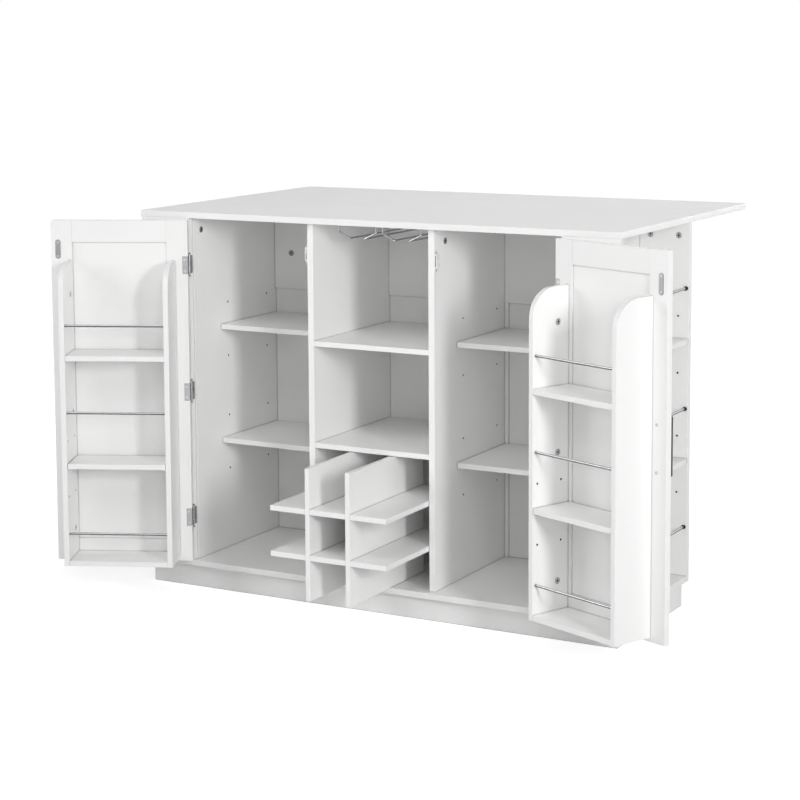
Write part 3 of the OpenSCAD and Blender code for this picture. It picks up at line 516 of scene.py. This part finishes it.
def leaf_screws(bm):
    for side in SIDES:
        for y in ARM_YS:
            screw(bm, mirrored(side) @ aimed((ARM_X, y, ARM_Z), (0, 0, -1)), BRACKET_HEAD)
    leaf_hinge_screws(bm, LEAF_SCREW_Y)


fitting("cabinet_screws", "cabinet", [ZINC, DARK_STEEL_AND_SHADE], cabinet_screws)
fitting("leaf_screws", "leaf", [ZINC, DARK_STEEL_AND_SHADE], leaf_screws)

# Hinges: washers between the knuckles, and a round tip on each pin
KNUCKLE = 8.68
KNUCKLE_GAPS = 4
HINGE_H = 43.0
WASHER_T = 0.4
PIN_END = 26.0
WASHER = [(1.6, 0.0), (2.95, 0.0), (2.95, WASHER_T), (1.6, WASHER_T)]
TIP = [(1.8, 0.0), (2.3, 0.3), (2.3, 1.0), (1.9, 1.8), (0.9, 2.4)]


def hinge_washers(bm):
    for side in SIDES:
        for z in HINGE_ZS:
            for k in range(KNUCKLE_GAPS):
                low = z - HINGE_H / 2 + (k + 1) * KNUCKLE - WASHER_T
                place = Matrix.Translation((AXIS.x, AXIS.y, low))
                turned(bm, mirrored(side) @ place, WASHER)
            for along in (-1, 1):
                at = (AXIS.x, AXIS.y, z + along * PIN_END)
                turned(bm, mirrored(side) @ aimed(at, (0, 0, along)), TIP)


fitting("hinge_washers", "cabinet", [DARK_STEEL_AND_SHADE], hinge_washers)


# Catches: two pole plates with the magnet between them, in the slot.
# Each row is the place across the slot, then the depth, the width and the height.
CATCH_Y = -196.9
POLES = [(-0.7, 2.6, 0.5, 25.8), (0.7, 2.6, 0.5, 25.8), (0.0, 2.0, 0.9, 25.0)]


def catch_magnets(bm):
    for side in SIDES:
        for across, deep, wide, tall in POLES:
            place = mirrored(side) @ Matrix.Translation((CATCH_X + across, CATCH_Y, CATCH_Z))
            size = Matrix.Diagonal((wide, deep, tall, 1.0))
            bmesh.ops.create_cube(bm, size=1.0, matrix=place @ size)


fitting("catch_magnets", "cabinet", [DARK_STEEL_AND_SHADE], catch_magnets, 0.15)


def door_parts(side):
    """The painted hole shade, cam faces and screws of one door."""
    name, body, place = SIDES[side], SIDES[side] + "_door", door_place(side)
    near_x, far_x = DOOR_RACK_X

    def door_hole_shade(bm):
        for z in spare((DOOR_PIN_Z,)):
            for y in DOOR_PIN_YS:
                turned(bm, place @ aimed((near_x, y, z), (1, 0, 0)), HOLE_SHADE_CUP)
                turned(bm, place @ aimed((far_x, y, z), (-1, 0, 0)), HOLE_SHADE_CUP)

    def cams(bm):
        for z in DOOR_CAM_ZS:
            cam_face(bm, place @ aimed((near_x, DOOR_CAM_Y, z), (1, 0, 0)))
            cam_face(bm, place @ aimed((far_x, DOOR_CAM_Y, z), (-1, 0, 0)))

    def screws(bm):
        for z in HINGE_ZS:
            for k in (-1, 1):
                at = (DOOR_HINGE_SCREW_X, DOOR_Y, z + k * HINGE_SCREW_RISE)
                screw(bm, place @ aimed(at, (0, 1, 0)), SMALL_HEAD)
        for k in (-1, 1):
            for (x, y, rise), middle in ((STRIKE_SCREW, CATCH_Z), (HANDLE_SCREW, HANDLE_Z)):
                screw(bm, place @ aimed((x, y, middle + k * rise), (0, 1, 0)), DOOR_HEAD)

    fitting(name + "_door_hole_shade_cups", body, [HOLE_SHADE], door_hole_shade)
    fitting(name + "_door_cam_faces", body, [ZINC, DARK_STEEL_AND_SHADE], cams)
    fitting(name + "_door_screws", body, [ZINC, DARK_STEEL_AND_SHADE], screws)


for door_side in SIDES:
    door_parts(door_side)

# ---- Floor ------------------------------------------------------------------
FLOOR_SIZE = 60.0
GLOW_NEAR, GLOW_FAR = 0.62, 1.0
SHADOW_REACH, FLOOR_FADE = 1.0, 2.0


def plain_mesh(name, points, faces):
    mesh = bpy.data.meshes.new(name)
    mesh.from_pydata(points, [], faces)
    obj = bpy.data.objects.new(name, mesh)
    scene.collection.objects.link(obj)
    return obj


def seen_directly(s):
    """1 for rays from the camera, and for those seen in gloss or through glass."""
    path = s.add("ShaderNodeLightPath")
    total = path.outputs["Is Camera Ray"]
    for key in ("Is Glossy Ray", "Is Transmission Ray"):
        node = s.add("ShaderNodeMath", operation="MAXIMUM")
        s.link(total, node.inputs[0])
        s.link(path.outputs[key], node.inputs[1])
        total = node.outputs[0]
    return total


def floor_material():
    """White floor: it is pure white where it is clear, and keeps the object's shadow."""
    s = Shader("floor")
    plain = s.add("ShaderNodeBsdfDiffuse")
    plain.inputs["Color"].default_value = (0.8, 0.8, 0.8, 1.0)
    glow = s.add("ShaderNodeEmission")
    glow.inputs["Color"].default_value = (1.0, 1.0, 1.0, 1.0)
    apart = s.add("ShaderNodeVectorMath", operation="LENGTH")
    s.link(s.coords(), apart.inputs[0])
    s.link(s.span(apart.outputs["Value"], GLOW_NEAR, GLOW_FAR, SHADOW_REACH, FLOOR_FADE),
           glow.inputs["Strength"])
    both = s.add("ShaderNodeAddShader")
    s.link(plain.outputs[0], both.inputs[0])
    s.link(glow.outputs[0], both.inputs[1])
    mix = s.add("ShaderNodeMixShader")
    s.link(seen_directly(s), mix.inputs[0])
    s.link(plain.outputs[0], mix.inputs[1])
    s.link(both.outputs[0], mix.inputs[2])
    s.link(mix.outputs[0], s.out.inputs["Surface"])
    return s.mat


half = FLOOR_SIZE / 2
floor = plain_mesh("floor", [(-half, -half, 0), (half, -half, 0), (half, half, 0),
                             (-half, half, 0)], [(0, 1, 2, 3)])
floor.data.materials.append(floor_material())


# ---- World and lamps --------------------------------------------------------
WORLD_LEVEL = 0.05


def make_world():
    world = bpy.data.worlds.new("world")
    scene.world = world
    world.use_nodes = True
    tree = world.node_tree
    tree.nodes.clear()
    out = tree.nodes.new("ShaderNodeOutputWorld")
    path = tree.nodes.new("ShaderNodeLightPath")
    total = path.outputs["Is Camera Ray"]
    for key in ("Is Glossy Ray", "Is Transmission Ray"):
        node = tree.nodes.new("ShaderNodeMath")
        node.operation = "MAXIMUM"
        tree.links.new(total, node.inputs[0])
        tree.links.new(path.outputs[key], node.inputs[1])
        total = node.outputs[0]
    mix = tree.nodes.new("ShaderNodeMixShader")
    tree.links.new(total, mix.inputs[0])
    for slot, level in ((1, WORLD_LEVEL), (2, 1.0)):
        back = tree.nodes.new("ShaderNodeBackground")
        back.inputs["Color"].default_value = (1.0, 1.0, 1.0, 1.0)
        back.inputs["Strength"].default_value = level
        tree.links.new(back.outputs[0], mix.inputs[slot])
    tree.links.new(mix.outputs[0], out.inputs["Surface"])


# name, place, width, height, watts
LAMPS = [
    ("lamp_key", (3.66, -2.39, 1.68), 0.55, 1.1, 69.0),
    ("lamp_left", (-3.41, -1.59, 1.92), 1.5, 1.5, 16.0),
    ("lamp_front_left", (-2.73, -2.73, 1.59), 1.5, 1.5, 40.0),
    ("lamp_front", (2.35, -4.07, 1.55), 2.0, 2.0, 30.0),
    ("lamp_front_right", (3.11, -3.11, 1.49), 2.0, 2.0, 5.0),
    ("lamp_upper", (0.0, -2.83, 3.38), 1.5, 1.5, 14.0),
    ("lamp_upper_right", (1.2, -2.56, 3.38), 1.5, 1.5, 20.0),
    ("lamp_over", (0.5, 1.5, 3.2), 2.0, 2.0, 29.0),
    ("lamp_rear", (2.2, 3.6, 1.3), 1.5, 1.5, 29.0),
]
LAMP_TARGET = Vector((0.0, 0.0, 0.55))


def make_lamp(name, place, width, height, watts):
    data = bpy.data.lights.new(name, "AREA")
    data.shape = "RECTANGLE"
    data.size, data.size_y = width, height
    data.energy = watts
    lamp = bpy.data.objects.new(name, data)
    lamp.location = place
    lamp.rotation_euler = (LAMP_TARGET - Vector(place)).to_track_quat("-Z", "Y").to_euler()
    scene.collection.objects.link(lamp)


make_world()
for lamp in LAMPS:
    make_lamp(*lamp)

scene.view_settings.view_transform = "Standard"
